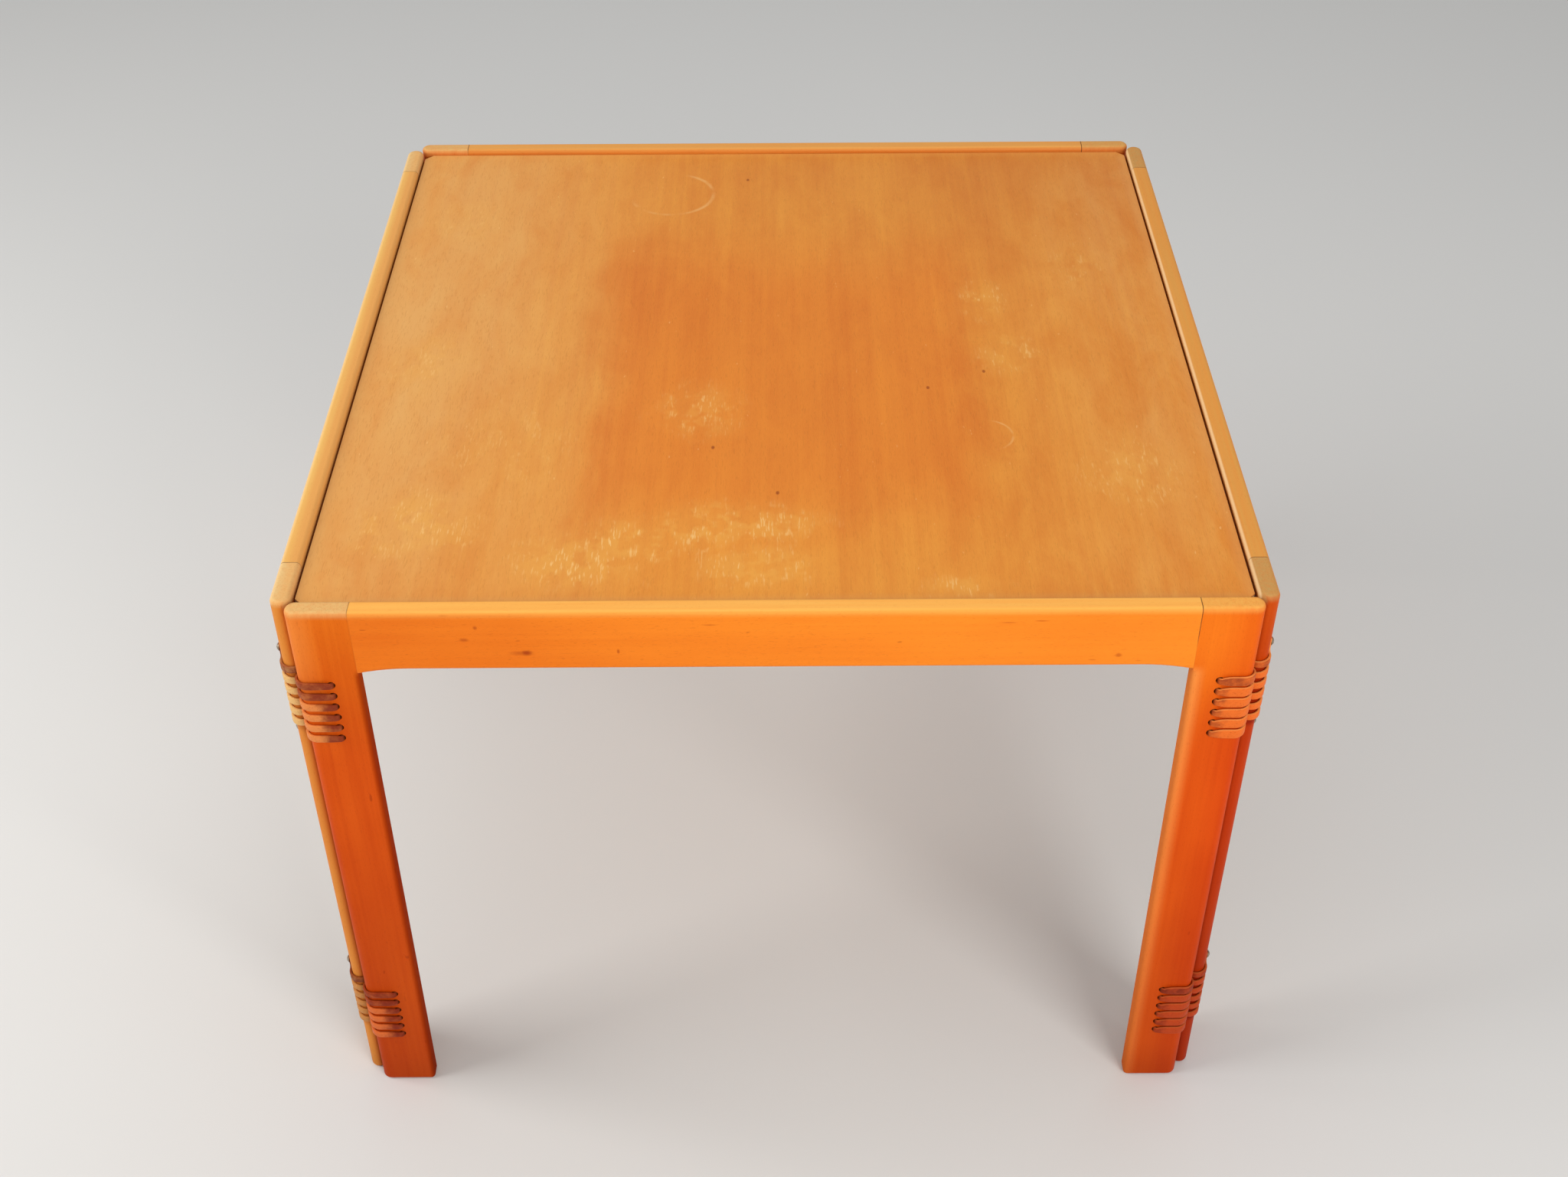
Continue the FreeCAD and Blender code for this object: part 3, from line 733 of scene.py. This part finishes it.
def layOn(bm, sx, sy, onSide, rubbed, kept):  # from the board's own directions to the corner
    alongAxis, outAxis = thong["alongAxis"], thong["outAxis"]
    if onSide:
        place = Matrix(((0, sx, 0, sx * outAxis), (-sy, 0, 0, sy * alongAxis), (0, 0, 1, 0), (0, 0, 0, 1)))
    else:
        place = Matrix(((-sx, 0, 0, sx * alongAxis), (0, sy, 0, sy * outAxis), (0, 0, 1, 0), (0, 0, 0, 1)))
    wear, holeShade = [bm.verts.layers.float.new(key) for key in ("wear", "holeShade")]
    cut = bm.verts.layers.float["cutEdge"]
    upperFirst, lowerFirst = thong["firstLevels"]
    sunkStart, sunkRun = thong["sunkFrom"]
    sunkFace, sunkDeep = thong["sunkOff"]
    most = thong["wearMost"]
    for vert in bm.verts:
        run, off, level = vert.co
        first = upperFirst if level > thong["between"] else lowerFirst
        fresh = 1.0 if level > first + kept else 0.0  # the first straps kept their dye
        edgeWear = clamped(most - run * thong["wearFade"], most)
        vert[wear] = edgeWear * (1 - 0.8 * fresh) + 0.10 + rubbed * (1 - 0.5 * fresh)
        vert[cut] *= 0.4 + rubbed * 1.2
        vert[holeShade] = clamped((run - sunkStart) / sunkRun) * clamped((sunkFace - abs(off)) / sunkDeep)
    bmesh.ops.transform(bm, matrix=place, verts=bm.verts)
    for vert in bm.verts:  # a hand-pulled waver, the same for straps that meet
        vert.co.z += thong["wave"] * noise.noise(vert.co * thong["waveScale"])
    bmesh.ops.recalc_face_normals(bm, faces=bm.faces)
    return place


leathers = {state: leatherFinish(state) for state in thong["low"]}
corners = {  # pairs are for the front or rear board, then for the side board
    "front_left": {
        "signs": (-1, -1),
        "boards": ("front_frame", "left_frame"),
        "laced": ("front_left_lacing", "front_left_lacing"),
        "leather": ("faded", "windowLit"),
        "faceWide": (0.0060, 0.0066),
        "kept": (-0.014, 0.001),
        "rubbed": 0.0,
    },
    "front_right": {
        "signs": (1, -1),
        "boards": ("front_frame", "right_frame"),
        "laced": ("front_right_lacing", "front_right_lacing"),
        "leather": ("worn", "worn"),
        "faceWide": (0.0080, 0.0062),
        "kept": (-0.004, 0.001),
        "rubbed": 0.45,
    },
    "rear_right": {
        "signs": (1, 1),
        "boards": ("rear_frame", "right_frame"),
        "laced": ("rear_right_lacing", "rear_right_lacing"),
        "leather": ("worn", "worn"),
        "faceWide": (0.0072, 0.0066),
        "kept": (-0.004, 0.001),
        "rubbed": 0.1,
    },
    "rear_left": {
        "signs": (-1, 1),
        "boards": ("rear_frame", "left_frame"),
        "laced": ("rear_left_lower_lacing", "rear_left_upper_lacing"),
        "leather": ("worn", "windowLit"),
        "faceWide": (0.0070, 0.0068),
        "kept": (-0.004, 0.001),
        "rubbed": 0.15,
    },
}
for corner, look in corners.items():
    for onSide in (False, True):
        board = look["boards"][onSide]
        laced = look["laced"][onSide]
        for inside in (False, True):
            bm = straps(inside, onSide, look["faceWide"][onSide])
            place = layOn(bm, *look["signs"], onSide, look["rubbed"], look["kept"][onSide])
            name = f"lacing_{corner}_on_{board.split('_')[0]}_{'inside' if inside else 'outside'}"
            mesh = bpy.data.meshes.new(name)
            bm.to_mesh(mesh)
            bm.free()
            mesh.shade_smooth()
            mesh.set_sharp_from_angle(angle=math.radians(thong["sharpAngle"]))
            mesh.materials.append(leathers[look["leather"][onSide]])
            piece = bpy.data.objects.new(name, mesh)
            bpy.context.scene.collection.objects.link(piece)
            start = place @ Vector((0, -wrap if inside else wrap, 0))
            crossing = place @ Vector((-wrap * math.sqrt(0.5), -wrap * math.sqrt(0.5), 0))
            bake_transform(piece, board, laced, start, crossing)
            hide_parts(f"lacing_{corner}_upper", f"lacing_{corner}_lower")
print("corners laced:", len(corners))


# floor, light and the photograph's view
studio = {
    "floor": (0.70, 0.70, 0.69),
    "floorHalf": 14,
    "world": (1.0, 1.0, 1.0),
    "worldLevel": 0.45,
    "aim": (0, 0, 0.35),
    "lamps": {  # place, size, watts, colour
        "window": ((-2.3, -0.4, 1.7), 1.6, 42, (1.0, 0.98, 0.95)),
        "front": ((1.5, -2.6, 1.7), 1.6, 54, (1.0, 0.98, 0.95)),
        "above": ((0.2, 0.5, 2.8), 2.2, 10, (1.0, 1.0, 1.0)),
    },
}
bm = bmesh.new()
bmesh.ops.create_grid(bm, x_segments=1, y_segments=1, size=studio["floorHalf"])
mesh = bpy.data.meshes.new("floor")
bm.to_mesh(mesh)
bm.free()
made, wire = startFinish("pale_floor")
closeFinish(wire, {"Base Color": (*studio["floor"], 1), "Roughness": 0.9, "Specular IOR Level": 0.1})
mesh.materials.append(made)
floor = bpy.data.objects.new("floor", mesh)
bpy.context.scene.collection.objects.link(floor)

world = bpy.data.worlds.new("studio")
bpy.context.scene.world = world
world.use_nodes = True
world.node_tree.nodes["Background"].inputs["Color"].default_value = (*studio["world"], 1)
world.node_tree.nodes["Background"].inputs["Strength"].default_value = studio["worldLevel"]
for name, (spot, size, watts, colour) in studio["lamps"].items():
    lamp = bpy.data.lights.new(name, "AREA")
    lamp.size, lamp.energy, lamp.color = size, watts, colour
    shine = bpy.data.objects.new(name, lamp)
    shine.location = spot
    shine.rotation_euler = (Vector(studio["aim"]) - Vector(spot)).to_track_quat("-Z", "Y").to_euler()
    bpy.context.scene.collection.objects.link(shine)

view = {  # metres and degrees; the focal length and the photograph's width are in pixels
    "place": (0.00602, -1.35723, 1.36701),
    "down": 39.4775,
    "aside": 0.0147,
    "lean": -0.3158,
    "focal": 2544.1,
    "photoWide": 2048,
    "sensor": 36,
}
down, aside, lean = [math.radians(view[key]) for key in ("down", "aside", "lean")]
ahead = Vector((math.sin(aside) * math.cos(down), math.cos(aside) * math.cos(down), -math.sin(down)))
level = Vector((math.cos(aside), -math.sin(aside), 0))
above = level.cross(ahead)
right = level * math.cos(lean) + above * math.sin(lean)
top = above * math.cos(lean) - level * math.sin(lean)
camera = bpy.data.cameras.new("photograph")
camera.sensor_width, camera.sensor_fit = view["sensor"], "HORIZONTAL"
camera.lens = view["focal"] / view["photoWide"] * view["sensor"]
eye = bpy.data.objects.new("photograph", camera)
eye.matrix_world = Matrix((right, top, -ahead)).transposed().to_4x4()
eye.location = view["place"]
bpy.context.scene.collection.objects.link(eye)
bpy.context.scene.camera = eye
bpy.context.scene.view_settings.view_transform = "Standard"
print("studio set")
